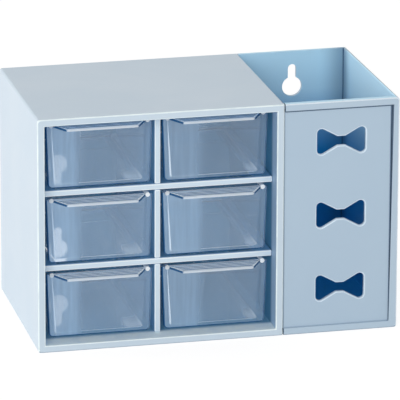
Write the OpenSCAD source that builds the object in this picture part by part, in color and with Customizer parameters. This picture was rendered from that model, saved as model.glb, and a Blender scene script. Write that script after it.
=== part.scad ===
// Desktop mini drawers: a cabinet with six clear drawers and a pen holder on its right side.
// Frame: +Z is up, the front faces -Y and the origin lies under the middle of the whole unit.
// All lengths are in millimetres.

/* [Cabinet] */
// Width of the drawer cabinet
cabinet_w = 134.5; // [110:0.5:240]
// Height of the cabinet and of the pen holder
unit_h = 130; // [110:1:220]
// Depth of the cabinet and of the pen holder
unit_d = 108; // [90:1:220]
// Width of the rim round the drawer opening, and of the walls behind it
rim = 4; // [3:0.25:6]
// Thickness of the cabinet's back wall
back_wall = 2.4; // [1.6:0.2:4]
// How far each outer side draws in from the front to the back
side_draft = 1; // [0:0.25:2]
// How far the top drops from the front to the back
top_draft = 2; // [0:0.25:2]
// Rounding of the long outer edges
edge_r = 1.5; // [0.5:0.25:2.5]
// Rounding of the long edges where cabinet and pen holder meet
seam_r = 0.5; // [0.2:0.1:1]
// Depth of the bevel round the front face
front_bevel = 0.6; // [0.2:0.1:1.2]

/* [Shelves and divider] */
// How far the shelves and the divider stand back from the front
grid_inset = 9.5; // [4:0.5:20]
// Thickness of a shelf
shelf_t = 3.2; // [2:0.1:5]
// Thickness of the centre divider
divider_t = 3.2; // [2:0.2:5]
// Depth of a shelf's front bar and rear bar
shelf_bar = 3; // [2:0.5:8]
// How far a shelf's runners reach in past the drawer skids that slide on them
runner_margin = 0.8; // [0.4:0.2:4]
// Size of the square ledge under each end of a shelf
ledge = 1.6; // [1:0.2:2]
// Clearance round the shelves, the divider and the joining tabs
fit_gap = 0.15; // [0.05:0.05:0.3]

/* [Drawers] */
// Gap beside a drawer's front at its top edge
drawer_side_gap = 1.8; // [1.6:0.1:4]
// Gap under a drawer's front
drawer_lift = 0.9; // [0.3:0.1:1.5]
// Gap between the skids under a drawer and what they slide on
slide_gap = 0.1; // [0.05:0.05:0.2]
// Free height above a drawer
drawer_head_gap = 1.1; // [0.8:0.1:6]
// How far a drawer's front stands behind the front of the shelves
drawer_inset = 1.3; // [0.5:0.1:10]
// Free depth behind a drawer
drawer_rear_gap = 9; // [2:0.5:20]
// How far each side of a drawer leans in towards its floor
drawer_lean = 1.3; // [0:0.1:2]
// Rounding of the lower corners of a drawer's front
drawer_corner_r = 2.4; // [2:0.1:6]
// Rounding along the lower edges of the tub behind it
tub_corner_r = 2.4; // [2.1:0.1:5]
// Thickness of a drawer's front
drawer_front_t = 2; // [1.2:0.1:3]
// Thickness of a drawer's sides and back
drawer_wall = 1.2; // [1:0.1:2]
// Thickness of a drawer's floor
drawer_floor = 1.2; // [1:0.1:2.5]
// How far a drawer's front stands out beyond its sides
drawer_flange = 2.2; // [1:0.1:3]
// Radius of the round bead along the top of each drawer side
bead_r = 1.3; // [1:0.1:1.6]
// How far the beads stand out of the drawer's front
bead_proud = 1.2; // [0.2:0.1:2]
// Width of the skids under a drawer
skid_w = 1.2; // [0.8:0.1:2]

/* [Grip ledge] */
// How far the grip ledge stands out of the drawer's front
grip_depth = 9.8; // [6:0.1:10]
// Distance from the side of the drawer's front to the ledge's root
grip_margin = 3.3; // [3:0.1:8]
// How far the ledge draws in on each side towards its front edge
grip_taper = 6.3; // [0:0.1:12]
// Thickness of the ledge's plate
grip_t = 0.8; // [0.6:0.1:2]
// Height of the lip round the ledge, from the underside of the plate
grip_lip_h = 1.2; // [1:0.1:4]
// Thickness of that lip
grip_lip_t = 1.2; // [0.8:0.1:2]
// Rounding of the ledge's front corners
grip_corner_r = 1.8; // [1.5:0.1:3]
// Distance between the fine ribs on the ledge
grip_rib_pitch = 2.2; // [1.2:0.1:3]
// Width of a fine rib
grip_rib_w = 1; // [0.4:0.1:1.1]
// Height of a fine rib
grip_rib_h = 0.3; // [0.2:0.1:0.8]

/* [Pen holder] */
// Width of the pen holder
holder_w = 63.5; // [45:0.5:120]
// Thickness of the pen holder's back and side
holder_wall = 2.2; // [1.6:0.1:3]
// Thickness of the pen holder's floor
holder_floor = 2.6; // [1.6:0.1:3.5]
// Width of the frame round the front panel
holder_rim = 3.8; // [3:0.1:6]
// Open seam between the cabinet and the ends of that frame
seam_gap = 0.5; // [0.2:0.1:0.6]
// Thickness of the stop that the front panel lies against
stop_t = 1.2; // [0.8:0.1:2]
// How far that stop reaches behind the panel
stop_w = 1.4; // [0.8:0.1:3]
// Length of the tabs that join the pen holder to the cabinet
tab_l = 2.4; // [1.5:0.1:2.6]
// Thickness of the tabs
tab_t = 1.2; // [0.8:0.1:1.4]
// Height of the tabs
tab_h = 2; // [1.2:0.1:2.4]
// Distance from the base and from the top to the tabs on the back wall
tab_inset = 20; // [10:1:40]

/* [Front panel] */
// Thickness of the front panel
panel_t = 2; // [1.2:0.1:3]
// How far the panel stands behind the frame's front
panel_inset = 1; // [0:0.1:2]
// Gap round the panel
panel_gap = 0.4; // [0.2:0.1:0.8]
// Overall width of a bow cut-out
bow_w = 26.8; // [16:0.2:34]
// Height of a bow's outer edges before their corners are rounded
bow_h = 17.6; // [12:0.2:22]
// Height of a bow's knot
knot_h = 5.1; // [3:0.1:8]
// Width of a bow's knot
knot_w = 4.4; // [2:0.2:8]
// Plain height of the panel under the lowest bow
bow_margin_low = 12.4; // [8:0.2:20]
// Plain height of the panel over the highest bow
bow_margin_high = 9.5; // [8:0.1:20]
// Rounding of the bows' outer corners
bow_round = 2.4; // [0.5:0.1:2.5]
// Rounding between the knot and the lobes
bow_blend = 1; // [0.2:0.1:4]

/* [Keyholes] */
// Radius of a keyhole's round part
keyhole_r = 5.6; // [4:0.1:8]
// Width of a keyhole's slot
keyhole_slot_w = 4.7; // [3:0.1:6]
// Height of the slot's round end over the centre of the round part
keyhole_rise = 10.4; // [8:0.2:14]
// Distance between the left and the right keyholes
keyhole_spacing_x = 132.8; // [125:0.2:140]
// Height of the lower keyholes' centres
keyhole_low_z = 22.2; // [16:0.2:40]
// Distance from the upper keyholes' centres up to the top of the front
keyhole_top_gap = 22.2; // [18:0.2:40]

/* [Hidden] */
$fn = 64;
eps = 0.01;       // thickness of the slices that a tapered body is stretched between
past = 1;         // how far a cut runs past the surface that it opens
arc_steps = 8;    // straight steps in a rounded corner
columns = 2;
rows = 3;
bows = 3;

// Places across the width, from the unit's left side to its right side
left_x = -(cabinet_w + holder_w) / 2;
seam_x = left_x + cabinet_w;
right_x = seam_x + holder_w;
// Places from the front to the back
front_y = -unit_d / 2;
back_y = unit_d / 2;
grid_y = front_y + grid_inset;
cabinet_back_y = back_y - back_wall;
// The cabinet's hollow and the cells that the drawers fill
inner_x = left_x + rim;
inner_w = cabinet_w - 2 * rim;
inner_h = unit_h - 2 * rim;
cell_w = (inner_w - (columns - 1) * divider_t) / columns;
cell_h = (inner_h - (rows - 1) * shelf_t) / rows;
// The shelves reach from the front of the grid to the back wall
shelf_d = cabinet_back_y - fit_gap - grid_y;
lap_y = grid_y + shelf_d / 2;
// Drawer
drawer_w = cell_w - 2 * drawer_side_gap;
drawer_y = grid_y + drawer_inset;
drawer_d = cabinet_back_y - drawer_rear_gap - drawer_y;
drawer_face_h = cell_h - drawer_lift - drawer_head_gap - bead_r;
lean_angle = atan(drawer_lean / drawer_face_h);
tub_in = drawer_flange + drawer_wall;
bead_x = drawer_w / 2 - drawer_flange - drawer_wall / 2;
// The skids lie near the rounded edges of the tub's floor, over the shelves' runners
skid_x = drawer_w / 2 - drawer_lean - drawer_flange - tub_corner_r + skid_w;
shelf_open_w = 2 * (skid_x - skid_w / 2 - runner_margin);
// Pen holder
frame_d = panel_inset + panel_t + stop_t;
frame_back_y = front_y + frame_d;
frame_open_w = holder_w - holder_rim;
frame_open_h = unit_h - 2 * holder_rim;
// Front panel, which stands on the frame's lower bar, and its evenly spaced bows
panel_h = frame_open_h - panel_gap;
bow_low_z = holder_rim + bow_margin_low + bow_h / 2;
bow_pitch = (panel_h - bow_margin_low - bow_margin_high - bow_h) / (bows - 1);
// Grip ledge, half of its width at the root and the slant of its ends
grip_root = drawer_w / 2 - grip_margin;
grip_slant = atan(grip_taper / grip_depth);

divider_x = inner_x + cell_w;

// Middle of a column, floor of a row counted from the bottom, and underside of the shelf below it
function cell_x(column) = inner_x + cell_w / 2 + column * (cell_w + divider_t);
function cell_z(row) = rim + row * (cell_h + shelf_t);
function shelf_z(row) = cell_z(row) - shelf_t;

// Middle of a drawer, which has equal room to the ledge on the side wall and to the divider
function drawer_x(column) = cell_x(column) + (column == 0 ? 1 : -1) * ledge / 2;

// Points along an arc, or its centre alone where the radius is 0
function arc(centre, r, from, to) = r == 0 ? [centre] :
    [for (i = [0:arc_steps]) let (a = from + (to - from) * i / arc_steps)
        centre + r * [cos(a), sin(a)]];

// Rectangle with its own corner radii: lower right, upper right, upper left, lower left
function rounded_rect(x0, x1, z0, z1, r) = concat(
    arc([x1 - r[0], z0 + r[0]], r[0], -90, 0),
    arc([x1 - r[1], z1 - r[1]], r[1], 0, 90),
    arc([x0 + r[2], z1 - r[2]], r[2], 90, 180),
    arc([x0 + r[3], z0 + r[3]], r[3], 180, 270));

// Stands a flat outline upright, so that it fills the depth from y to y + t
module upright(y, t) {
    translate([0, y + t, 0]) rotate([90, 0, 0]) linear_extrude(t) children();
}

// Outer body that draws in towards the back on the sides and the top and stands flat on its base
module drafted_body(x0, x1, draft_left, draft_right, r) {
    b = front_bevel;
    hull() {
        upright(front_y, eps) polygon(rounded_rect(x0 + b, x1 - b, b, unit_h - b, r));
        upright(front_y + b, eps) polygon(rounded_rect(x0, x1, 0, unit_h, r));
        upright(back_y - eps, eps)
            polygon(rounded_rect(x0 + draft_left, x1 - draft_right, 0, unit_h - top_draft, r));
    }
}

// Keyhole through a back wall: a round hole for the screw's head with a slot above it
module keyhole(x, z) {
    depth = back_wall + holder_wall + 2 * past;
    translate([x, back_y - depth / 2, z]) {
        rotate([-90, 0, 0]) cylinder(r = keyhole_r, h = depth);
        translate([0, 0, keyhole_rise]) rotate([-90, 0, 0]) cylinder(d = keyhole_slot_w, h = depth);
        translate([-keyhole_slot_w / 2, 0, 0]) cube([keyhole_slot_w, depth, keyhole_rise]);
    }
}

// The two keyholes of one side, -1 for the cabinet and 1 for the pen holder
module keyholes(side) {
    for (z = [keyhole_low_z, unit_h - keyhole_top_gap])
        keyhole(side * keyhole_spacing_x / 2, z);
}

// Tabs on the pen holder's left edges, or with a gap the sockets for them in the cabinet's side
module joining_tabs(gap) {
    for (z = [tab_inset, unit_h - top_draft - tab_inset])
        tab(back_y - holder_wall / 2, z, gap);
    for (z = [holder_rim / 2, unit_h - holder_rim / 2])
        tab(front_y + frame_d / 2, z, gap);
}

// One tab centred at y and z, reaching from inside the cabinet's wall into the pen holder
module tab(y, z, gap) {
    translate([seam_x - tab_l - gap, y - tab_t / 2 - gap, z - tab_h / 2 - gap])
        cube([tab_l + gap + seam_gap + past, tab_t + 2 * gap, tab_h + 2 * gap]);
}

// Case of the cabinet: one shell with its back, open at the front
module cabinet_shell() {
    color([0.84, 0.88, 0.92]) {
        difference() {
            drafted_body(left_x, seam_x, side_draft, 0, [seam_r, seam_r, edge_r, edge_r]);
            translate([inner_x, front_y - past, rim])
                cube([inner_w, unit_d - back_wall + past, inner_h]);
            keyholes(-1);
            joining_tabs(fit_gap);
        }
        shelf_ledges();
    }
}

// Ledges along both side walls, under the ends of the shelves
module shelf_ledges() {
    ledge_y = grid_y + 2 * shelf_bar;
    for (row = [1:rows - 1], x = [inner_x, inner_x + inner_w - ledge])
        translate([x, ledge_y, shelf_z(row) - ledge])
            cube([ledge, cabinet_back_y - ledge_y, ledge]);
}

// Upright plate between the columns, slotted from the front for the shelves
module centre_divider() {
    color([0.82, 0.87, 0.92])
        difference() {
            translate([divider_x, grid_y, rim]) cube([divider_t, shelf_d, inner_h - fit_gap]);
            for (row = [1:rows - 1])
                translate([divider_x - past, grid_y - past, shelf_z(row) - fit_gap])
                    cube([divider_t + 2 * past, lap_y - grid_y + fit_gap + past,
                          shelf_t + 2 * fit_gap]);
        }
}

// Shelf under one row of drawers: a frame with two openings, slotted from the back
module shelf(row) {
    open_h = shelf_t + 2 * past;
    color([0.86, 0.9, 0.94])
        translate([0, 0, shelf_z(row)])
        difference() {
            translate([inner_x + fit_gap, grid_y, 0]) cube([inner_w - 2 * fit_gap, shelf_d, shelf_t]);
            for (column = [0:columns - 1])
                translate([drawer_x(column) - shelf_open_w / 2, grid_y + shelf_bar, -past])
                    cube([shelf_open_w, shelf_d - 2 * shelf_bar, open_h]);
            translate([divider_x - fit_gap, lap_y, -past])
                cube([divider_t + 2 * fit_gap, shelf_d, open_h]);
        }
}

module upper_shelf() shelf(2);
module lower_shelf() shelf(1);

// Outline of a drawer seen from the front, its sides leaning in to a floor with edges rounded by r,
// drawn in at the sides and the floor and stretched past the top
function drawer_outline(r, side_in = 0, floor_in = 0, top_out = 0) =
    let (foot = drawer_w / 2 - drawer_lean - side_in,
         top_z = drawer_face_h + top_out,
         centre = [foot + (floor_in + r) * tan(lean_angle) - r / cos(lean_angle), floor_in + r],
         half = concat(arc(centre, r, -90, -lean_angle), [[foot + top_z * tan(lean_angle), top_z]]))
    concat(half, [for (i = [len(half) - 1:-1:0]) [-half[i][0], half[i][1]]]);

// One clear drawer in its cell
module drawer(column, row) {
    color([0.8, 0.87, 0.94, 0.4])
        translate([drawer_x(column), drawer_y, cell_z(row) + drawer_lift]) {
            drawer_tub();
            drawer_beads();
            drawer_skids();
            grip_ledge();
        }
}

// Front with the tub behind it
module drawer_tub() {
    difference() {
        union() {
            upright(0, drawer_front_t) polygon(drawer_outline(drawer_corner_r));
            upright(0, drawer_d) polygon(drawer_outline(tub_corner_r, drawer_flange));
        }
        upright(drawer_front_t, drawer_d - drawer_front_t - drawer_wall)
            polygon(drawer_outline(tub_corner_r - drawer_wall, tub_in, drawer_floor, past));
    }
}

// Round beads along the tops of the sides, whose ends stand out of the front
module drawer_beads() {
    for (side = [-1, 1])
        translate([side * bead_x, -bead_proud, drawer_face_h])
            rotate([-90, 0, 0]) cylinder(r = bead_r, h = bead_proud + drawer_d);
}

// Skids that carry the drawer on the runners
module drawer_skids() {
    skid_h = drawer_lift - slide_gap;
    for (side = [-1, 1])
        translate([side * skid_x - skid_w / 2, drawer_front_t, -skid_h])
            cube([skid_w, drawer_d - drawer_front_t, skid_h + drawer_floor / 2]);
}

// Half of the grip ledge's width at a distance from the drawer's front
function grip_half(out, inset = 0) = grip_root - inset / cos(grip_slant) - grip_taper * out / grip_depth;

// Outline of the grip ledge seen from above, drawn in along its free edges, with rounded front corners
function grip_outline(inset, root) =
    let (out = grip_depth - inset,
         r = grip_corner_r - inset,
         centre = [grip_half(out - r, inset) - r / cos(grip_slant), r - out],
         half = concat(arc(centre, r, -90, -grip_slant), [[grip_half(0, inset), root]]))
    concat(half, [for (i = [len(half) - 1:-1:0]) [-half[i][0], half[i][1]]]);

// Ledge to pull the drawer by: a ribbed plate with a lip standing up round its free edges
module grip_ledge() {
    underside = drawer_face_h - grip_lip_h;
    translate([0, 0, underside])
        difference() {
            linear_extrude(grip_lip_h) polygon(grip_outline(0, drawer_front_t / 2));
            translate([0, 0, grip_t]) linear_extrude(grip_lip_h) polygon(grip_outline(grip_lip_t, 0));
        }
    last_rib = grip_depth - grip_lip_t - grip_rib_w;
    for (out = [grip_rib_pitch / 2:grip_rib_pitch:last_rib])
        let (half = grip_half(out, grip_lip_t))
            translate([-half, -out - grip_rib_w, underside + grip_t - eps])
                cube([2 * half, grip_rib_w, grip_rib_h + eps]);
}

module drawer_top_left() drawer(0, 2);
module drawer_top_right() drawer(1, 2);
module drawer_middle_left() drawer(0, 1);
module drawer_middle_right() drawer(1, 1);
module drawer_bottom_left() drawer(0, 0);
module drawer_bottom_right() drawer(1, 0);

// Pen holder: back, right side, floor and a frame for the front panel, closed on the left by the cabinet
module pen_holder() {
    color([0.7, 0.79, 0.86]) {
        difference() {
            drafted_body(seam_x, right_x, 0, side_draft, [edge_r, edge_r, seam_r, seam_r]);
            holder_hollow();
            frame_opening(0, panel_inset + panel_t);
            frame_opening(stop_w, frame_d + past);
            frame_seam();
            keyholes(1);
        }
        joining_tabs(0);
    }
}

// Room for the pens, with a side wall of even thickness that follows the outside
module holder_hollow() {
    far = back_y - holder_wall;
    wall_x = right_x - holder_wall;
    translate([0, 0, holder_floor])
        linear_extrude(unit_h)
            polygon([[seam_x - past, frame_back_y],
                     [wall_x - side_draft * frame_d / unit_d, frame_back_y],
                     [wall_x - side_draft * (far - front_y) / unit_d, far],
                     [seam_x - past, far]]);
}

// Open seam along the left ends of the front frame, as deep as the frame
module frame_seam() {
    translate([0, 0, -past])
        linear_extrude(unit_h + 2 * past)
            polygon([[seam_x - past, front_y - past],
                     [seam_x + seam_gap, front_y - past],
                     [seam_x + seam_gap, frame_back_y],
                     [seam_x - past, frame_back_y]]);
}

// Cut through the front frame that leaves an inset all round but on the cabinet's side
module frame_opening(inset, depth) {
    translate([seam_x - past, front_y - past, holder_rim + inset])
        cube([frame_open_w - inset + past, depth + past, frame_open_h - 2 * inset]);
}

// Front panel with its row of bow cut-outs, standing on the frame's lower bar against the stop
module bow_panel() {
    panel_x = seam_x + fit_gap;
    panel_w = frame_open_w - fit_gap - panel_gap;
    color([0.68, 0.77, 0.84])
        upright(front_y + panel_inset, panel_t)
            difference() {
                polygon(rounded_rect(panel_x, panel_x + panel_w, holder_rim, holder_rim + panel_h,
                                     [panel_gap, panel_gap, panel_gap, panel_gap]));
                for (i = [0:bows - 1])
                    translate([seam_x + holder_w / 2, bow_low_z + i * bow_pitch]) bow();
            }
}

// Bow: two lobes that widen from a knot, with rounded corners and a soft turn at the knot
module bow() {
    w = bow_w / 2;
    h = bow_h / 2;
    kw = knot_w / 2;
    kh = knot_h / 2;
    offset(r = bow_round) offset(delta = -bow_round)
        offset(r = -bow_blend) offset(delta = bow_blend)
            polygon([[-w, -h], [-kw, -kh], [kw, -kh], [w, -h], [w, h], [kw, kh], [-kw, kh], [-w, h]]);
}

cabinet_shell();
centre_divider();
upper_shelf();
lower_shelf();
drawer_top_left();
drawer_top_right();
drawer_middle_left();
drawer_middle_right();
drawer_bottom_left();
drawer_bottom_right();
pen_holder();
bow_panel();
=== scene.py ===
# Desktop mini drawers: a blue cabinet with six clear drawers, and a pen holder fixed to its right side.
# Metres, +Z up. The drawers open towards -Y and the origin lies under the middle of the unit.
from math import cos, pi, radians, sin

import bmesh
import bpy
from mathutils import Matrix, Vector


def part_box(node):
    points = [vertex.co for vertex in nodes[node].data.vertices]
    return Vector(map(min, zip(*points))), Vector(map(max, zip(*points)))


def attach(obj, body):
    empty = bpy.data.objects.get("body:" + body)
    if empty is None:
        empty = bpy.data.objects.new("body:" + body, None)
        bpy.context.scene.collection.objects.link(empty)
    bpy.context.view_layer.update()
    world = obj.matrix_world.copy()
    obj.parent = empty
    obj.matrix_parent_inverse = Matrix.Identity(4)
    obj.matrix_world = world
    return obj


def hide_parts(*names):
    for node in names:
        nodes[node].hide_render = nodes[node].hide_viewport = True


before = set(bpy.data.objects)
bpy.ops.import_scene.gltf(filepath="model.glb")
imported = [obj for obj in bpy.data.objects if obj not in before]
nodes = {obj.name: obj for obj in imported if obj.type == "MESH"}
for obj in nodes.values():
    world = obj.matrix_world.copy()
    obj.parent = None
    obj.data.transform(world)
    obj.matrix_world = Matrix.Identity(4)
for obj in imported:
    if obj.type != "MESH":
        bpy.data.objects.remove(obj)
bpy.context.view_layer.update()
scene = bpy.context.scene
MM = 0.001

# ---------------------------------------------------------------------------------------------
# Camera: it stands 2.8 m away, to the front left and a little above the unit, with a long lens
# that keeps the upright edges nearly parallel.
CAMERA_PLACE = Vector((-604.0, -2558.2, 900.8)) * MM
CAMERA_YAW = radians(13.328)
CAMERA_PITCH = radians(17.690)
CAMERA_ROLL = radians(0.213)
CAMERA_LENS = 455.99
CAMERA_SENSOR = 36
CAMERA_REACH = 50
LIGHT_CROSSINGS = 24

camera_data = bpy.data.cameras.new("camera")
camera_data.sensor_width = CAMERA_SENSOR
camera_data.lens = CAMERA_LENS
camera_data.clip_end = CAMERA_REACH
camera = bpy.data.objects.new("camera", camera_data)
scene.collection.objects.link(camera)
camera.matrix_world = (
    Matrix.Translation(CAMERA_PLACE)
    @ Matrix.Rotation(-CAMERA_YAW, 4, "Z")
    @ Matrix.Rotation(pi / 2 - CAMERA_PITCH, 4, "X")
    @ Matrix.Rotation(CAMERA_ROLL, 4, "Z")
)
scene.camera = camera
scene.view_settings.view_transform = "Standard"
# Light crosses a clear drawer many times before it leaves its edges.
scene.cycles.max_bounces = LIGHT_CROSSINGS
scene.cycles.transmission_bounces = LIGHT_CROSSINGS
scene.cycles.transparent_max_bounces = LIGHT_CROSSINGS

# ---------------------------------------------------------------------------------------------
# Studio: a plain pale table top without an end, white paper behind it, a large soft lamp on the
# left and a weaker one over the front. The table keeps the unit's shadow.
TABLE_HALF = 3.0
TABLE_BELOW = 0.03 * MM
TABLE_PALE = (0.86, 0.86, 0.86, 1)
TABLE_BOUNCE = 0.25
SHADOW_KEPT = 0.25
PAPER_WHITE = (1, 1, 1, 1)
PAPER_GLOW = 1.16
ROOM_LEVEL = 0.52
LAMP_SIZE = 1.2
LAMP_TARGET = Vector((0, 0, 0.06))
LEFT_LAMP_PLACE = Vector((-2.1, 0.5, 0.75))
LEFT_LAMP_POWER = 18
LEFT_LAMP_COLOUR = (1.0, 0.92, 0.88)
FRONT_LAMP_PLACE = Vector((-0.8, -1.7, 0.85))
FRONT_LAMP_POWER = 15.5


def wire(tree, kind, feeds, **settings):
    """Adds a shader node. A feed that is a socket is linked to its input, anything else is its value."""
    node = tree.nodes.new("ShaderNode" + kind)
    for key, value in settings.items():
        setattr(node, key, value)
    for key, value in feeds.items():
        if isinstance(value, bpy.types.NodeSocket):
            tree.links.new(value, node.inputs[key])
        else:
            node.inputs[key].default_value = value
    return node


def reckon(tree, operation, first, second):
    """The result of one sum, product or comparison of two values."""
    return wire(tree, "Math", {0: first, 1: second}, operation=operation).outputs[0]


def ramp(tree, value, start, end, first=0, last=1, curve="LINEAR"):
    """Runs from first to last while the value goes from start to end, and stays there beyond them."""
    feeds = {0: value, 1: start, 2: end, 3: first, 4: last}
    return wire(tree, "MapRange", feeds, interpolation_type=curve).outputs[0]


def seen_directly(tree):
    """1 for what the camera sees itself, in a gloss or through clear plastic, and 0 for other light."""
    path = wire(tree, "LightPath", {}).outputs
    gloss = reckon(tree, "MAXIMUM", path["Is Camera Ray"], path["Is Glossy Ray"])
    return reckon(tree, "MAXIMUM", gloss, path["Is Transmission Ray"])


bm = bmesh.new()
bmesh.ops.create_grid(bm, x_segments=1, y_segments=1, size=TABLE_HALF)
bmesh.ops.translate(bm, verts=bm.verts, vec=(0, 0, -TABLE_BELOW))
table_mesh = bpy.data.meshes.new("table_top")
bm.to_mesh(table_mesh)
bm.free()
table_top = bpy.data.objects.new("table_top", table_mesh)
scene.collection.objects.link(table_top)

table_pale = bpy.data.materials.new("table_pale")
table_pale.use_nodes = True
tree = table_pale.node_tree
tree.nodes.clear()
lit = wire(tree, "BsdfDiffuse", {"Color": TABLE_PALE})
glow = wire(tree, "Emission", {"Color": PAPER_WHITE, "Strength": PAPER_GLOW})
glow_share = ramp(tree, seen_directly(tree), 0, 1, TABLE_BOUNCE, 1 - SHADOW_KEPT)
paper = wire(tree, "MixShader", {0: glow_share, 1: lit.outputs[0], 2: glow.outputs[0]})
wire(tree, "OutputMaterial", {"Surface": paper.outputs[0]})
table_mesh.materials.append(table_pale)

world = bpy.data.worlds.new("white_paper")
scene.world = world
world.use_nodes = True
tree = world.node_tree
tree.nodes.clear()
room = wire(tree, "Background", {"Color": PAPER_WHITE, "Strength": ROOM_LEVEL})
paper = wire(tree, "Background", {"Color": PAPER_WHITE, "Strength": 1.0})
backdrop = wire(tree, "MixShader", {0: seen_directly(tree), 1: room.outputs[0], 2: paper.outputs[0]})
wire(tree, "OutputWorld", {"Surface": backdrop.outputs[0]})


def soft_lamp(name, place, power, colour=(1, 1, 1)):
    """A square soft box that faces the unit."""
    lamp_data = bpy.data.lights.new(name, "AREA")
    lamp_data.size = LAMP_SIZE
    lamp_data.energy = power
    lamp_data.color = colour
    lamp = bpy.data.objects.new(name, lamp_data)
    scene.collection.objects.link(lamp)
    turn = (LAMP_TARGET - place).to_track_quat("-Z", "Y").to_matrix().to_4x4()
    lamp.matrix_world = Matrix.Translation(place) @ turn


soft_lamp("left_lamp", LEFT_LAMP_PLACE, LEFT_LAMP_POWER, LEFT_LAMP_COLOUR)
soft_lamp("front_lamp", FRONT_LAMP_PLACE, FRONT_LAMP_POWER)

# ---------------------------------------------------------------------------------------------
# Cabinet case: one injection-moulded shell of blue polypropylene with its back, open at the front.
# Its outer edges are rounded, its satin skin comes from the mould, and keyholes pierce the back.
CASE_EDGE = 0.6 * MM
CASE_WALL = 3.9 * MM
CASE_BACK_WALL = 2.3 * MM
CASE_BLUE = (0.585, 0.695, 0.79, 1)
CASE_CLOUD = (0.57, 0.685, 0.785, 1)
# The pale edge tone is a painted highlight; the inside tones are painted shade, deepest behind the grid's
# front.
CASE_EDGE_HIGHLIGHT = (0.88, 0.99, 1.0, 1)
CASE_INSIDE_SHADE = (0.50, 0.71, 0.94, 1)
CASE_DEEP_SHADE = (0.09, 0.29, 0.48, 1)
CASE_DARKENS_FROM = -0.5 * MM
CASE_DARKENS_TO = 3.0 * MM
FLOOR_PAINTED_LIGHT = 0.85
RIGHT_WALL_SHADE = 0.3
FOOT_SHADE = 0.3
# Colour of painted shade in gaps, inner corners and round the foot.
SHADE_BLUE = (0.012, 0.07, 0.17, 1)

# Patterns of the skin, in cells a metre, and how far the peel and the grain stand out.
CLOUD_CELLS = 22
WEAR_CELLS = 120
PEEL_CELLS = 330
GRAIN_CELLS = 3800
GRAIN_SHARE = 0.35
SKIN_RELIEF = 0.05 * MM
SKIN_RELIEF_SHARE = 0.35
POLYPROPYLENE_IOR = 1.49
SMOOTHEST = 0.36
ROUGHEST = 0.5

# Shade round an inner upright corner, and its crease.
CORNER_REACH = 15 * MM
CORNER_DEPTH = 0.5
CREASE_REACH = 1.8 * MM
CREASE_DEPTH = 1.0

# Turns between faces: up to the first they are joined as flat, from the second on their edge may be
# rounded, and from the third on it is shaded as sharp. A rounding needs some room, in its own radii.
FLAT_TURN = radians(0.5)
ROUNDED_TURN = radians(28)
SHARP_TURN = radians(50)
ROOM_TO_ROUND = 2.2

# How much of a face's normal points one way, for a flat side, a face that mainly looks that way and
# one that is turned to it.
FLAT_SIDE = 0.97
MAINLY = 0.7
TURNED = 0.3


def noise(tree, place, cells, detail, roughness=0.5, distortion=0.0):
    """A cloudy value over the surface."""
    feeds = {"Vector": place, "Scale": cells, "Detail": detail, "Roughness": roughness,
             "Distortion": distortion}
    return wire(tree, "TexNoise", feeds).outputs[0]


def marked(tree, attribute):
    """The share that a piece's attribute gives each place."""
    return wire(tree, "Attribute", {}, attribute_name=attribute).outputs["Fac"]


def blend_tones(tree, share, first, second):
    """The first tone where the share is 0 and the second where it is 1."""
    return wire(tree, "Mix", {0: share, 6: first, 7: second}, data_type="RGBA").outputs[2]


def new_skin(name):
    """The satin skin of a moulded part: faint clouds from the flow, soft orange peel and a fine grain,
    with painted shade inside and painted highlights on the rounded edges.
    """
    skin = bpy.data.node_groups.new(name, "ShaderNodeTree")
    for label in ("Colour", "Cloud", "Edge Highlight", "Inside", "Deep Inside"):
        skin.interface.new_socket(label, in_out="INPUT", socket_type="NodeSocketColor")
    for label in ("Depth", "Corner", "Smoothest", "Roughest"):
        skin.interface.new_socket(label, in_out="INPUT", socket_type="NodeSocketFloat")
    skin.interface.new_socket("Colour", in_out="OUTPUT", socket_type="NodeSocketColor")
    skin.interface.new_socket("Roughness", in_out="OUTPUT", socket_type="NodeSocketFloat")
    skin.interface.new_socket("Height", in_out="OUTPUT", socket_type="NodeSocketFloat")
    given = skin.nodes.new("NodeGroupInput").outputs
    place = wire(skin, "TexCoord", {}).outputs["Object"]
    clouds = noise(skin, place, CLOUD_CELLS, 3, distortion=0.6)
    peel = noise(skin, place, PEEL_CELLS, 2)
    grain = noise(skin, place, GRAIN_CELLS, 2)
    worn = noise(skin, place, WEAR_CELLS, 4, roughness=0.65)

    # Painted shade: the inside deepens with its depth, and only a face marked as inside has any.
    outer_tone = blend_tones(skin, ramp(skin, clouds, 0.35, 0.65), given["Colour"], given["Cloud"])
    inner_tone = blend_tones(skin, given["Depth"], given["Inside"], given["Deep Inside"])
    inside = marked(skin, "inside")
    has_depth = reckon(skin, "GREATER_THAN", inside, 0.1)
    deep = reckon(skin, "MULTIPLY", has_depth, given["Depth"])
    body_tone = blend_tones(skin, reckon(skin, "MAXIMUM", inside, deep), outer_tone, inner_tone)

    # Rounded edges get a painted highlight, broken into patches of wear, and weaker deep inside.
    highlight_patches = reckon(skin, "MULTIPLY", marked(skin, "rounded"), ramp(skin, worn, 0.3, 0.6, 0.6, 1.0))
    edge_highlight = reckon(skin, "MULTIPLY", highlight_patches, ramp(skin, deep, 0, 1, 1.0, 0.1))
    edge_tone = blend_tones(skin, edge_highlight, body_tone, given["Edge Highlight"])

    # Gaps and inner corners lie in shade.
    corner_shade = reckon(skin, "MULTIPLY", has_depth, given["Corner"])
    shade = reckon(skin, "MAXIMUM", marked(skin, "gap"), corner_shade)
    tone = blend_tones(skin, shade, edge_tone, SHADE_BLUE)

    mottle = reckon(skin, "ADD", grain, clouds)
    roughness = ramp(skin, mottle, 0.6, 1.4, given["Smoothest"], given["Roughest"])
    height = reckon(skin, "ADD", peel, reckon(skin, "MULTIPLY", grain, GRAIN_SHARE))
    result = skin.nodes.new("NodeGroupOutput").inputs
    skin.links.new(tone, result["Colour"])
    skin.links.new(roughness, result["Roughness"])
    skin.links.new(height, result["Height"])
    return skin


moulded_skin = new_skin("moulded_skin")


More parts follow.
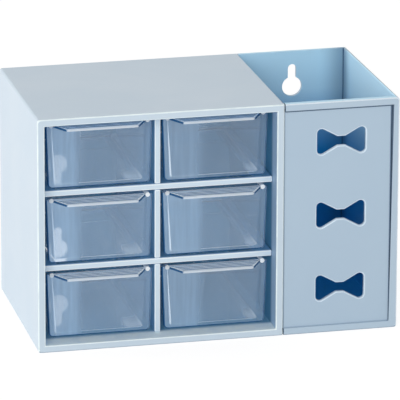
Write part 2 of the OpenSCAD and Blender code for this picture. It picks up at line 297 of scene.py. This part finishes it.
def blue_plastic(name, tones, axis, shallow, deep, corner=None):
    """Satin blue polypropylene with the moulded skin.

    The tones are the outside, its clouds, the painted highlight of the edges, and the painted shade of
    the inside and the deep inside. The painted shade deepens along an axis, and it is painted darker
    round an upright corner where one is given.
    """
    material = bpy.data.materials.new(name)
    material.use_nodes = True
    tree = material.node_tree
    tree.nodes.clear()
    skin = tree.nodes.new("ShaderNodeGroup")
    skin.node_tree = moulded_skin
    for label, tone in zip(("Colour", "Cloud", "Edge Highlight", "Inside", "Deep Inside"), tones):
        skin.inputs[label].default_value = tone
    skin.inputs["Smoothest"].default_value = SMOOTHEST
    skin.inputs["Roughest"].default_value = ROUGHEST
    place = wire(tree, "TexCoord", {}).outputs["Object"]
    along = wire(tree, "SeparateXYZ", {0: place}).outputs[axis]
    tree.links.new(ramp(tree, along, shallow, deep), skin.inputs["Depth"])
    if corner is not None:
        plan = wire(tree, "VectorMath", {0: place, 1: (1, 1, 0)}, operation="MULTIPLY").outputs[0]
        away = wire(tree, "VectorMath", {0: plan, 1: corner}, operation="DISTANCE").outputs["Value"]
        near = ramp(tree, away, 0, CORNER_REACH, CORNER_DEPTH, 0, curve="SMOOTHSTEP")
        crease = ramp(tree, away, 0, CREASE_REACH, CREASE_DEPTH, 0)
        tree.links.new(reckon(tree, "MAXIMUM", near, crease), skin.inputs["Corner"])
    bump = wire(tree, "Bump", {"Height": skin.outputs["Height"], "Strength": SKIN_RELIEF_SHARE,
                               "Distance": SKIN_RELIEF})
    shader = wire(tree, "BsdfPrincipled", {
        "Base Color": skin.outputs["Colour"], "Roughness": skin.outputs["Roughness"],
        "Normal": bump.outputs[0], "IOR": POLYPROPYLENE_IOR})
    wire(tree, "OutputMaterial", {"Surface": shader.outputs[0]})
    return material


def roomy(radius):
    """A test for edges whose neighbours are long enough for a rounding of that radius."""
    return lambda edge: all(near.calc_length() > ROOM_TO_ROUND * radius
                            for corner in edge.verts for near in corner.link_edges)


def flat_sided(node):
    """A copy of a node's mesh with its triangles joined into flat faces, ready to be rounded."""
    bm = bmesh.new()
    bm.from_mesh(nodes[node].data)
    bmesh.ops.remove_doubles(bm, verts=bm.verts, dist=0.001 * MM)
    bmesh.ops.dissolve_limit(bm, angle_limit=FLAT_TURN, verts=bm.verts, edges=bm.edges)
    bm.faces.layers.float.new("rounded")
    bm.faces.layers.float.new("inside")
    return bm


def round_edges(bm, radius, segments, chosen):
    """Rounds the sharp edges that the test picks."""
    rounded = bm.faces.layers.float["rounded"]
    sharp = [edge for edge in bm.edges
             if edge.is_manifold and edge.calc_face_angle() > ROUNDED_TURN and chosen(edge)]
    made = bmesh.ops.bevel(bm, geom=sharp, offset=radius, offset_type="OFFSET", affect="EDGES",
                           segments=segments, profile=0.5, material=-1, clamp_overlap=False)
    for face in made["faces"]:
        face[rounded] = 1.0


def within(place, low, high):
    """Whether a place lies in the box between two corners."""
    return all(least <= part <= most for least, part, most in zip(low, place, high))


def finished(name, node, bm, material, hollow=None):
    """The piece that stands for the node. Its faces in the hollow, a box of two corners, are inside."""
    inside = bm.faces.layers.float["inside"]
    rounded = bm.faces.layers.float["rounded"]
    low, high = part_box(node)
    for corner in bm.verts:
        corner.co = [min(max(part, least), most) for least, part, most in zip(low, corner.co, high)]
    for edge in bm.edges:
        edge.smooth = edge.is_manifold and edge.calc_face_angle() < SHARP_TURN
    for face in bm.faces:
        face.smooth = True
        if hollow and within(face.calc_center_median(), *hollow):
            face[inside] = 1.0
            face[rounded] = 0.0
    mesh = bpy.data.meshes.new(name)
    bm.to_mesh(mesh)
    bm.free()
    mesh.materials.append(material)
    piece = bpy.data.objects.new(name, mesh)
    scene.collection.objects.link(piece)
    piece.modifiers.new("even_normals", "WEIGHTED_NORMAL").keep_sharp = True
    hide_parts(node)
    return piece


def mark(piece, attribute, value, chosen):
    """Sets an attribute of every face that the test picks."""
    mask = piece.data.attributes.get(attribute) or piece.data.attributes.new(attribute, "FLOAT", "FACE")
    for face in piece.data.polygons:
        if chosen(face):
            mask.data[face.index].value = value


def slanted(face):
    """Whether a face belongs to a bevel or a rounding, and not to a flat side."""
    return max(abs(part) for part in face.normal) < FLAT_SIDE


def mark_foot(piece):
    """The bevel round the foot lies in its own shade."""
    mark(piece, "rounded", 0.0, lambda face: face.normal.z < -TURNED)
    mark(piece, "gap", FOOT_SHADE, lambda face: slanted(face) and face.normal.z < -TURNED)


case_low, case_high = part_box("cabinet_shell")
case_hollow = (
    (case_low[0] + CASE_WALL, case_low[1] + CASE_EDGE, case_low[2] + CASE_WALL),
    (case_high[0] - CASE_WALL, case_high[1] - CASE_BACK_WALL, case_high[2] - CASE_WALL),
)
grid_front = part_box("centre_divider")[0][1]
case_blue = blue_plastic(
    "case_blue", (CASE_BLUE, CASE_CLOUD, CASE_EDGE_HIGHLIGHT, CASE_INSIDE_SHADE, CASE_DEEP_SHADE),
    "Y", grid_front + CASE_DARKENS_FROM, grid_front + CASE_DARKENS_TO)
bm = flat_sided("cabinet_shell")
round_edges(bm, CASE_EDGE, 3, roomy(CASE_EDGE))
case = finished("cabinet_case", "cabinet_shell", bm, case_blue, hollow=case_hollow)


def case_floor(face):
    """Whether a face is part of the case's floor."""
    return face.normal.z > MAINLY and face.center.z < case_hollow[0][2] + 1 * MM


def case_right_wall(face):
    """Whether a face lies on the inside of the case's right wall, behind the grid's front."""
    on_wall = face.normal.x < -MAINLY and abs(face.center.x - case_hollow[1][0]) < 1 * MM
    return on_wall and face.center.y > grid_front


# The rounded front edges of the case get the painted edge highlight.
mark(case, "rounded", 1.0, lambda face: slanted(face) and face.center.y < grid_front)
mark_foot(case)
# Painted light on the case's floor, as pale as on the rounded edges, and painted shade on its right
# wall, where the drawers cast their shade.
mark(case, "rounded", FLOOR_PAINTED_LIGHT, case_floor)
mark(case, "gap", RIGHT_WALL_SHADE, case_right_wall)
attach(case, "housing")

# ---------------------------------------------------------------------------------------------
# Centre divider and the two shelves: thin moulded frames of the same blue plastic, half-lapped
# into each other and slid into the case on its ledges.
GRID_EDGE = 0.6 * MM
GRID_BLUE = (0.63, 0.75, 0.85, 1)
GRID_CLOUD = (0.62, 0.74, 0.84, 1)
# The pale edge tone is a painted highlight, and the deep tone painted shade behind the grid's front.
GRID_EDGE_HIGHLIGHT = (0.9, 0.97, 1.0, 1)
GRID_DEEP_SHADE = (0.13, 0.31, 0.53, 1)
GRID_INSIDE_FROM = 0.3 * MM
GRID_DARKENS_FROM = 0.5 * MM
GRID_DARKENS_TO = 1.5 * MM
REAR_BAR_DEPTH = 10 * MM
REAR_BAR_INSIDE = 0.3

grid_hollow = ((case_low[0], grid_front + GRID_INSIDE_FROM, case_low[2]), case_high)
grid_blue = blue_plastic(
    "grid_blue", (GRID_BLUE, GRID_CLOUD, GRID_EDGE_HIGHLIGHT, CASE_INSIDE_SHADE, GRID_DEEP_SHADE),
    "Y", grid_front + GRID_DARKENS_FROM, grid_front + GRID_DARKENS_TO)


def rear_bar(face):
    """Whether a face is the front of a rear bar."""
    return face.normal.y < -MAINLY and face.center.y > case_high[1] - REAR_BAR_DEPTH


for node in ("centre_divider", "upper_shelf", "lower_shelf"):
    bm = flat_sided(node)
    round_edges(bm, GRID_EDGE, 3, roomy(GRID_EDGE))
    plate = finished(node + "_plate", node, bm, grid_blue, hollow=grid_hollow)
    # The shelves' rear bars catch the light from the keyholes.
    mark(plate, "inside", REAR_BAR_INSIDE, rear_bar)
    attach(plate, "housing")

# ---------------------------------------------------------------------------------------------
# Drawers: six thin tubs of clear polystyrene, each moulded in one with its front, the ribbed grip
# ledge and the round beads along its sides. They slide on the shelves and pull right out.
FACE_STANDS_BACK = 9.8 * MM
FACE_THICKNESS = 2.0 * MM
LEDGE_BELOW_BEADS = 1.3 * MM
BEAD_PROUD = 1.2 * MM
TUB_FLOOR_TOP = 2.0 * MM
TUB_FLOOR_REACH = 5 * MM
REAR_REACH = 3 * MM
HALF_TUB = 20 * MM

# Roundings of the front, of the crease behind it, of the tub's inner rear edge and of the ledge.
CLEAR_EDGE = 0.65 * MM
CREASE_EDGE = 1.1 * MM
REAR_EDGE = 0.5 * MM
LEDGE_EDGE = 0.15 * MM

# How near two places count as one, for edges, for faces and for roundings. Then how large a small
# face is, and how much of a normal points up on a level face and at most on an upright one.
SAME = 0.02 * MM
NEAR = 0.1 * MM
CLOSE = 0.5 * MM
SMALL_FACE = 30 * MM * MM
TINY_FACE = 6 * MM * MM
LEVEL = 0.9
UPRIGHT = 0.5

# Clear plastic: its tint, the gloss of its faces, and a haze, mostly painted reflected light, whose
# level differs from drawer to drawer with how each is lit.
CLEAR_TINT = (0.96, 0.972, 0.985, 1)
STRAIGHT_TINT = (0.98, 0.99, 1.0, 1)
CLEAR_IOR = 1.01
COAT = 0.7
COAT_ROUGHNESS = 0.02
FLOW_CELLS = 60
FLOW_RELIEF = 0.03 * MM
FLOW_RELIEF_SHARE = 0.1
SPECK_CELLS = 900
SPECK_ROUGHNESS = 0.03
STREAK_CELLS = 420
STREAK_STRETCH = (1, 1, 0.08)
CLEAR_GLOSS = 1.5
FLOOR_GLOSS = 5.5
HAZE_BLUE = (0.50, 0.73, 1.0, 1)
HAZE_LEFT = 0.47
HAZE_RIGHT = 0.25
HAZE_THIN = 0.03
HAZE_ENDS = {"left": 0.33, "right": 0.4}
HAZE_AND_LIGHT_LEVELS = {"top_left": 0.95, "middle_left": 1.35, "bottom_left": 1.25,
               "top_right": 0.7, "middle_right": 0.88, "bottom_right": 0.8}

# Painted shade on dark edges, which turn the light away, and painted highlights on pale ones.
EDGE_BLUE = (0.02, 0.10, 0.24, 1)
EDGE_SHARE = 0.95
SMALL_EDGE_DARK = 0.15
HIGHLIGHT_PALE = (0.9, 0.96, 1.0, 1)
BEAD_END_PALE = {"left": 0.6, "right": 0.9}
BEAD_PALE = {"left": 0.12, "right": 0.8}
LEDGE_PALE = 0.5
RIB_PALE = 0.95
LIP_PALE = 0.55
RIGHT_RIM_PALE = 0.5
CREASE_PALE = 1.0
REAR_RIM_PALE = 0.25
REAR_EDGE_PALE = 0.9
GLINT_LENGTH = 24 * MM
GLINT_SHARE = 0.6

face_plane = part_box("drawer_top_left")[0][1] + FACE_STANDS_BACK


def clear_polystyrene(name, coat_ior):
    """Clear polystyrene with painted shade on its dark edges and painted highlights on its pale ones,
    where a drawer's attributes say so.
    """
    material = bpy.data.materials.new(name)
    material.use_nodes = True
    tree = material.node_tree
    tree.nodes.clear()
    place = wire(tree, "TexCoord", {}).outputs["Object"]
    flow = noise(tree, place, FLOW_CELLS, 2)
    specks = noise(tree, place, SPECK_CELLS, 3)
    bump = wire(tree, "Bump", {"Height": flow, "Strength": FLOW_RELIEF_SHARE, "Distance": FLOW_RELIEF})
    glass = wire(tree, "BsdfPrincipled", {
        "Base Color": CLEAR_TINT, "Roughness": ramp(tree, specks, 0.3, 0.7, 0, SPECK_ROUGHNESS),
        "Normal": bump.outputs[0], "IOR": CLEAR_IOR, "Transmission Weight": 1.0,
        "Coat Weight": COAT, "Coat Roughness": COAT_ROUGHNESS, "Coat IOR": coat_ior})

    # The front is hazier on its left up to a soft upright line, a painted reflection of light, with faint
    # streaks from the flow.
    across = marked(tree, "across")
    haze_drop = ramp(tree, across, -0.1, 0.04, HAZE_LEFT, HAZE_RIGHT, curve="SMOOTHSTEP")
    upright = wire(tree, "VectorMath", {0: place, 1: STREAK_STRETCH}, operation="MULTIPLY").outputs[0]
    streak = ramp(tree, noise(tree, upright, STREAK_CELLS, 2), 0.35, 0.65, 0.93, 1.07)
    front_haze = reckon(tree, "MULTIPLY", haze_drop, streak)
    haze_share = wire(tree, "Mix", {0: marked(tree, "on_front"), 2: HAZE_THIN, 3: front_haze})
    veil = wire(tree, "BsdfDiffuse", {"Color": HAZE_BLUE})
    veiled = wire(tree, "MixShader", {0: haze_share.outputs[0], 1: glass.outputs[0], 2: veil.outputs[0]})

    edge_share = reckon(tree, "MULTIPLY", marked(tree, "rounded"), EDGE_SHARE)
    edge = wire(tree, "BsdfDiffuse", {"Color": EDGE_BLUE})
    edged = wire(tree, "MixShader", {0: edge_share, 1: veiled.outputs[0], 2: edge.outputs[0]})

    # The tub's lower right corner glints behind the front, and its rear edge left of the soft line.
    depth = wire(tree, "SeparateXYZ", {0: place}).outputs["Y"]
    near_front = ramp(tree, depth, face_plane + 0.4 * GLINT_LENGTH, face_plane + GLINT_LENGTH,
                      GLINT_SHARE, 0.2 * GLINT_SHARE)
    glint_place = reckon(tree, "MULTIPLY", near_front, ramp(tree, across, 0.40, 0.46))
    glint_share = reckon(tree, "MULTIPLY", marked(tree, "glint"), glint_place)
    rear_left = ramp(tree, across, -0.02, 0.04, 1.0, 0.2)
    rear_share = reckon(tree, "MULTIPLY", marked(tree, "rear_edge"), rear_left)
    pale = reckon(tree, "MAXIMUM", glint_share, rear_share)
    highlight_share = reckon(tree, "MAXIMUM", marked(tree, "painted_highlight"), pale)
    highlight = wire(tree, "BsdfDiffuse", {"Color": HIGHLIGHT_PALE})
    seen = wire(tree, "MixShader", {0: highlight_share, 1: edged.outputs[0], 2: highlight.outputs[0]})

    # Light that only passes through goes straight on, so that the insides aren't dark.
    straight = wire(tree, "BsdfTransparent", {"Color": STRAIGHT_TINT})
    path = wire(tree, "LightPath", {}).outputs
    unseen = reckon(tree, "MAXIMUM", path["Is Shadow Ray"], path["Is Diffuse Ray"])
    mixed = wire(tree, "MixShader", {0: unseen, 1: seen.outputs[0], 2: straight.outputs[0]})
    wire(tree, "OutputMaterial", {"Surface": mixed.outputs[0]})
    return material


# The tub's floor mirrors what stands behind it more strongly than the rest.
clear_plastic = clear_polystyrene("clear_polystyrene", CLEAR_GLOSS)
clear_floor = clear_polystyrene("clear_polystyrene_floor", FLOOR_GLOSS)


def lies_at(edge, y):
    """Whether an edge lies in the upright plane at y."""
    return all(abs(corner.co.y - y) < SAME for corner in edge.verts)


def tub_places(node):
    """A drawer's lowest and highest corner, its front's plane, its middle and its ledge's top."""
    low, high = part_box(node)
    return low, high, low[1] + FACE_STANDS_BACK, (low[0] + high[0]) / 2, high[2] - LEDGE_BELOW_BEADS


def rounded_tub(node):
    """The drawer's mesh with its front, crease, rear edge, ledge and bead ends rounded."""
    low, high, face_y, middle_x, ledge_z = tub_places(node)
    floor_z = low[2] + TUB_FLOOR_TOP

    def below_ledge(edge):
        heights = [corner.co.z for corner in edge.verts]
        return max(heights) < ledge_z + NEAR and sum(heights) / 2 < ledge_z - 2 * MM

    def of_tub(edge):
        return below_ledge(edge) and (lies_at(edge, face_y) or lies_at(edge, high[1]))

    def looks_in(face):
        inward = face.normal.x * (middle_x - face.calc_center_median().x)
        return face.normal.z > TURNED or inward > TURNED * HALF_TUB

    def of_crease(edge):
        above_floor = all(corner.co.z > floor_z - NEAR for corner in edge.verts)
        behind_face = lies_at(edge, face_y + FACE_THICKNESS)
        return below_ledge(edge) and above_floor and behind_face and any(map(looks_in, edge.link_faces))

    def of_rear(edge):
        on_floor = all(abs(corner.co.z - floor_z) < NEAR for corner in edge.verts)
        return on_floor and all(corner.co.y > high[1] - REAR_REACH for corner in edge.verts)

    def of_lip(edge):
        ahead = all(corner.co.y < face_y - NEAR for corner in edge.verts)
        return ahead and all(abs(corner.co.z - ledge_z) < SAME for corner in edge.verts)

    def of_bead_end(edge):
        return lies_at(edge, face_y - BEAD_PROUD)

    bm = flat_sided(node)
    round_edges(bm, CLEAR_EDGE, 3, of_tub)
    round_edges(bm, CREASE_EDGE, 3, of_crease)
    round_edges(bm, REAR_EDGE, 3, of_rear)
    round_edges(bm, LEDGE_EDGE, 2, of_lip)
    round_edges(bm, LEDGE_EDGE, 2, of_bead_end)
    return bm


def mark_tub(drawer, node):
    """Marks the drawer's painted shade and painted highlights, and gives its floor the stronger mirror."""
    low, high, face_y, middle_x, ledge_z = tub_places(node)

    # What the faces belong to.
    def in_plate(face):
        return face_y - NEAR < face.center.y < face_y + FACE_THICKNESS + CLOSE

    def right_rim(face):
        on_rim = abs(face.center.y - face_y) < CLOSE and slanted(face) and face.center.z < ledge_z
        return on_rim and face.normal.x > TURNED

    def crease(face):
        inward = face.normal.x * (face.center.x - middle_x) < -0.2 * MM or face.normal.z > TURNED
        return in_plate(face) and face.normal.y > TURNED and face.area < SMALL_FACE and inward

    def on_ledge(face):
        return face.center.y < face_y - 0.05 * MM and face.center.z < ledge_z + NEAR

    def ledge_top(face):
        return on_ledge(face) and face.normal.z > MAINLY

    def ledge_side(face):
        return on_ledge(face) and face.center.y > low[1] + CLOSE and abs(face.normal.z) < UPRIGHT

    def bead_end(face):
        ahead = face_y - face.center.y
        at_end = BEAD_PROUD - 3 * NEAR < ahead < BEAD_PROUD + NEAR
        return at_end and face.normal.y < -MAINLY and face.area < TINY_FACE

    def on_bead(face):
        return face.center.z > ledge_z + 0.05 * MM and face.center.y > face_y + FACE_THICKNESS

    def at_rear(face):
        return face.center.y > high[1] - REAR_REACH

    def rear_rim(face):
        return face.normal.z > LEVEL and at_rear(face) and face.center.z > ledge_z - 2 * MM

    def rear_edge(face):
        low_down = at_rear(face) and face.center.z < low[2] + REAR_REACH
        return low_down and slanted(face) and min(abs(face.normal.y), abs(face.normal.z)) > 0.2

    def near_floor(face):
        return face.center.z < low[2] + TUB_FLOOR_REACH and face.center.y > face_y

    def on_side(side, test):
        return lambda face: test(face) and (face.center.x < middle_x) == (side == "left")

    # Dark where an edge turns the light away: strongest on the left of the front and round the ledge.
    mark(drawer, "rounded", SMALL_EDGE_DARK, lambda face: (
        face.center.y > face_y + 1 * MM and face.area < SMALL_FACE))
    mark(drawer, "rounded", 1.0, lambda face: in_plate(face) and face.normal.x < -0.2)
    mark(drawer, "rounded", 1.0, ledge_side)
    mark(drawer, "rounded", 0.0, crease)
    mark(drawer, "rounded", 0.0, bead_end)
    # Painted highlights where the plastic catches the light: the bead ends, the ledge with its ribs and
    # its lip, the right edge of the front and the crease behind it.
    for side in ("left", "right"):
        mark(drawer, "painted_highlight", BEAD_END_PALE[side], on_side(side, bead_end))
    mark(drawer, "painted_highlight", LEDGE_PALE, ledge_top)
    mark(drawer, "painted_highlight", RIB_PALE, lambda face: ledge_top(face) and face.center.z > ledge_z - 0.15 * MM)
    mark(drawer, "painted_highlight", LIP_PALE, lambda face: (
        face.center.y < low[1] + CLOSE and face.normal.y < -LEVEL))
    mark(drawer, "painted_highlight", RIGHT_RIM_PALE, right_rim)
    mark(drawer, "painted_highlight", CREASE_PALE, lambda face: crease(face) and face.center.x < middle_x + HALF_TUB)
    for side in ("left", "right"):
        mark(drawer, "painted_highlight", BEAD_PALE[side], on_side(side, on_bead))
    mark(drawer, "painted_highlight", REAR_RIM_PALE, rear_rim)
    mark(drawer, "glint", 1.0, lambda face: (
        near_floor(face) and face.normal.z > 0.2 and face.center.y > face_y + REAR_REACH))
    mark(drawer, "rear_edge", REAR_EDGE_PALE, rear_edge)
    for face in drawer.data.polygons:
        if near_floor(face) and face.normal.z > LEVEL:
            face.material_index = 1


def mark_haze(drawer, node, level, end):
    """Gives each corner its place across the drawer, counted from where the haze ends, and its haze,
    the drawer's level of painted reflected light.
    """
    low, high, face_y = tub_places(node)[:3]
    across = drawer.data.attributes.new("across", "FLOAT", "POINT")
    on_front = drawer.data.attributes.new("on_front", "FLOAT", "POINT")
    for corner in drawer.data.vertices:
        across.data[corner.index].value = (corner.co.x - low[0]) / (high[0] - low[0]) - end
        if abs(corner.co.y - face_y) < 2 * NEAR:
            on_front.data[corner.index].value = level


for row in ("top", "middle", "bottom"):
    for column in ("left", "right"):
        node = "drawer_" + row + "_" + column
        drawer = finished(node + "_tub", node, rounded_tub(node), clear_plastic)
        drawer.data.materials.append(clear_floor)
        mark_tub(drawer, node)
        mark_haze(drawer, node, HAZE_AND_LIGHT_LEVELS[row + "_" + column], HAZE_ENDS[column])
        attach(drawer, node)

# ---------------------------------------------------------------------------------------------
# Pen holder: a moulded back, side, floor and front frame, open at the top and closed on its left
# by the cabinet, into whose wall its small tabs are pressed.
HOLDER_EDGE = 0.7 * MM
HOLDER_FRAME_DEPTH = 4.3 * MM
HOLDER_FRAME_TOP = 9 * MM
HOLDER_SKIN = 2 * MM
HOLDER_TOP_EDGE = 0.6 * MM
HOLDER_SIDE_WALL = 3.17 * MM
HOLDER_BACK_WALL = 2.19 * MM
HOLDER_BLUE = (0.47, 0.59, 0.70, 1)
HOLDER_CLOUD = (0.458, 0.58, 0.692, 1)
# The pale edge tone is a painted highlight; the inside tones are painted shade that deepens downwards.
HOLDER_EDGE_HIGHLIGHT = (0.77, 0.87, 0.95, 1)
HOLDER_INSIDE_SHADE = (0.53, 0.82, 1.0, 1)
HOLDER_DEEP_SHADE = (0.012, 0.33, 0.74, 1)
HOLDER_SHALLOW = 24 * MM
HOLDER_DEEP = 60 * MM
LIT_WALL_INSIDE = 0.88
RECESS_SIDE_SHADE = 0.8
RECESS_TOP_SHADE = 0.6
HOLDER_FLOOR_SHADE = 0.2

holder_low, holder_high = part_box("pen_holder")
holder_hollow = (
    (holder_low[0], holder_low[1] + HOLDER_FRAME_DEPTH, holder_low[2] + HOLDER_SKIN),
    (holder_high[0] - HOLDER_SKIN, holder_high[1] - HOLDER_SKIN, holder_high[2] - HOLDER_TOP_EDGE),
)
holder_corner = (holder_high[0] - HOLDER_SIDE_WALL, holder_high[1] - HOLDER_BACK_WALL, 0)
holder_blue = blue_plastic(
    "holder_blue", (HOLDER_BLUE, HOLDER_CLOUD, HOLDER_EDGE_HIGHLIGHT, HOLDER_INSIDE_SHADE, HOLDER_DEEP_SHADE),
    "Z", holder_high[2] - HOLDER_SHALLOW, holder_high[2] - HOLDER_DEEP, holder_corner)
bm = flat_sided("pen_holder")
round_edges(bm, HOLDER_EDGE, 3, roomy(HOLDER_EDGE))
holder = finished("pen_holder_body", "pen_holder", bm, holder_blue, hollow=holder_hollow)


def in_frame(face):
    """Whether a face is part of the frame round the bow panel."""
    return face.center.y < holder_hollow[0][1]


def right_wall(face):
    """Whether a face lies on the inside of the holder's right wall."""
    return face.normal.x < -MAINLY and face.center.x > holder_high[0] - 4 * MM and not in_frame(face)


def recess_top(face):
    """Whether a face looks down on the panel from the frame's top bar."""
    return face.normal.z < -MAINLY and in_frame(face) and face.center.z > holder_high[2] - HOLDER_FRAME_TOP


def holder_floor(face):
    """Whether a face is part of the holder's floor."""
    return face.normal.z > LEVEL and face.center.z < holder_low[2] + 4 * MM and not in_frame(face)


# The frame's rounded edges get the painted edge highlight.
mark(holder, "rounded", 1.0, lambda face: slanted(face) and in_frame(face))
mark_foot(holder)
# Less painted shade on the side wall inside, where the light from the left falls.
mark(holder, "inside", LIT_WALL_INSIDE, right_wall)
# Painted shade where the panel sits in the frame, where the frame meets the cabinet, and on the floor.
mark(holder, "gap", RECESS_SIDE_SHADE, lambda face: face.normal.x < -MAINLY and in_frame(face))
mark(holder, "gap", RECESS_TOP_SHADE, recess_top)
mark(holder, "gap", HOLDER_FLOOR_SHADE, holder_floor)
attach(holder, "housing")

# ---------------------------------------------------------------------------------------------
# Bow panel: a flat moulded plate in the holder's frame, a shade deeper than the rest, with three
# bow cut-outs whose front edges are well rounded.
PANEL_EDGE = 0.7 * MM
PANEL_EDGE_STEPS = 5
PANEL_SHADE = 0.55 * MM
PANEL_BLUE = (0.44, 0.565, 0.685, 1)
PANEL_CLOUD = (0.43, 0.555, 0.678, 1)
# The pale edge tone is a painted highlight on the bows' rounded rims.
PANEL_EDGE_HIGHLIGHT = (0.7, 0.82, 0.93, 1)
DEEP_SHADE = 0.75
LEFT_SHADE = 0.3
BOTTOM_SHADE = 0.2

panel_low, panel_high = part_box("bow_panel")


def closed_loops(edges):
    """The edges sorted into closed loops of corners."""
    left = dict.fromkeys(edges)
    loops = []
    while left:
        first = next(iter(left))
        del left[first]
        loop = [first.verts[0], first.verts[1]]
        while loop[-1] != loop[0]:
            following = next(edge for edge in loop[-1].link_edges if edge in left)
            del left[following]
            loop.append(following.other_vert(loop[-1]))
        loops.append(loop[:-1])
    return loops


def outward_ways(loop):
    """For each corner of a loop, the way in the panel's plane that moves all its edges out by 1."""
    places = [corner.co.copy() for corner in loop]
    area = sum(a.x * b.z - b.x * a.z for a, b in zip(places, places[1:] + places[:1]))
    turn = 1 if area > 0 else -1
    steps = [(b - a).normalized() for a, b in zip(places, places[1:] + places[:1])]
    normals = [Vector((step.z, 0, -step.x)) * turn for step in steps]
    return [(normals[k - 1] + normals[k]) / (1 + normals[k - 1].dot(normals[k])) for k in range(len(loop))]


def round_bow(bm, loop):
    """Sets a quarter-round rim, ring by ring, between a bow's side and the front of the panel."""
    rounded = bm.faces.layers.float["rounded"]
    places = [corner.co.copy() for corner in loop]
    ways = outward_ways(loop)
    for corner in loop:
        corner.co.y += PANEL_EDGE
    lower = loop
    for step in range(1, PANEL_EDGE_STEPS + 1):
        turn = pi / 2 * step / PANEL_EDGE_STEPS
        out = PANEL_EDGE * (1 - cos(turn))
        depth = Vector((0, PANEL_EDGE * (1 - sin(turn)), 0))
        upper = [bm.verts.new(place + way * out + depth) for place, way in zip(places, ways)]
        for k in range(len(loop)):
            bm.faces.new((lower[k - 1], lower[k], upper[k], upper[k - 1]))[rounded] = 1.0
        lower = upper


def shaded_ring(bm, loop):
    """Sets a narrow flat ring inside the panel's outline, for the shade of the frame."""
    inner = [bm.verts.new(corner.co - way * PANEL_SHADE) for corner, way in zip(loop, outward_ways(loop))]
    for k in range(len(loop)):
        bm.faces.new((loop[k - 1], loop[k], inner[k], inner[k - 1]))


panel_blue = blue_plastic(
    "panel_blue", (PANEL_BLUE, PANEL_CLOUD, PANEL_EDGE_HIGHLIGHT, HOLDER_INSIDE_SHADE, HOLDER_DEEP_SHADE),
    "Z", holder_high[2] - HOLDER_SHALLOW, holder_high[2] - HOLDER_DEEP)
bm = flat_sided("bow_panel")
front = [face for face in bm.faces if face.normal.y < -0.99]
bmesh.ops.delete(bm, geom=front, context="FACES")
for loop in closed_loops([edge for edge in bm.edges if edge.is_boundary]):
    if max(corner.co.x for corner in loop) < panel_high[0] - 5 * MM:
        round_bow(bm, loop)
    else:
        shaded_ring(bm, loop)
bmesh.ops.triangle_fill(bm, use_beauty=True, edges=[edge for edge in bm.edges if edge.is_boundary])
bmesh.ops.recalc_face_normals(bm, faces=bm.faces)
panel_behind = ((holder_low[0], panel_high[1] - NEAR, 0), holder_high)
panel = finished("bow_panel_plate", "bow_panel", bm, panel_blue, hollow=panel_behind)
on_ring = 0.8 * PANEL_SHADE
# Painted shadow of the frame on the panel's ring, darkest at the right and the top.
mark(panel, "gap", DEEP_SHADE, lambda face: face.center.x > panel_high[0] - on_ring)
mark(panel, "gap", DEEP_SHADE, lambda face: face.center.z > panel_high[2] - on_ring)
mark(panel, "gap", LEFT_SHADE, lambda face: face.center.x < panel_low[0] + on_ring)
mark(panel, "gap", BOTTOM_SHADE, lambda face: face.center.z < panel_low[2] + on_ring)
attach(panel, "housing")

# ---------------------------------------------------------------------------------------------
# Last, the view layer is brought up to date.
bpy.context.view_layer.update()
